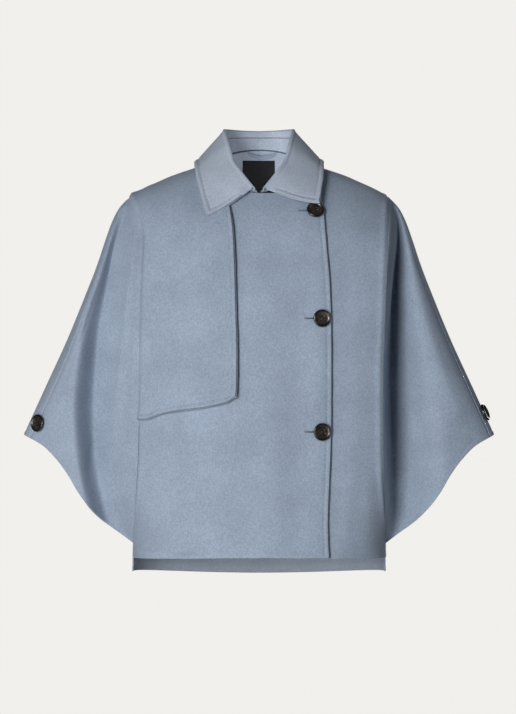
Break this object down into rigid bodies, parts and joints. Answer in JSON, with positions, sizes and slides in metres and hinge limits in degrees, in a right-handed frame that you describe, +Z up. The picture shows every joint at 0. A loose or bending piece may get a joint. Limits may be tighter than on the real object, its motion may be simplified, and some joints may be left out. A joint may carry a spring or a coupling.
{
  "type": "wool cape coat",
  "caption": "Short double-faced wool cape coat with wide open sleeves, a turn-down collar, a storm flap and a buttoned front, standing open and hollow as if worn",
  "frame": {"origin": "the middle of the neck base, level with the shoulder points, where the wearer's shoulders and neck carry the coat", "axes": "+Z up, -Y the coat's front, +X the wearer's left; right handed"},
  "size_m": [0.752, 0.2815, 0.7196],
  "materials": {
    "wool_cloth": "brushed double-faced wool, matt with a short soft nap",
    "label_satin": "black woven satin, soft sheen",
    "button_horn": "polished dark brown horn look"
  },
  "bodies": {
    "root": {"front_right": "wool_cloth", "front_left": "wool_cloth", "storm_flap": "wool_cloth", "back_left": "wool_cloth", "back_right": "wool_cloth", "sleeve_front_left": "wool_cloth", "sleeve_front_right": "wool_cloth", "sleeve_back_left": "wool_cloth", "sleeve_back_right": "wool_cloth", "collar_stand": "wool_cloth", "collar_fall": "wool_cloth", "hanger_loop": "wool_cloth", "label": "label_satin", "button_front_top": "button_horn", "button_front_middle": "button_horn", "button_front_lower": "button_horn", "button_sleeve_left": "button_horn", "button_sleeve_right": "button_horn"}
  },
  "joints": []
}
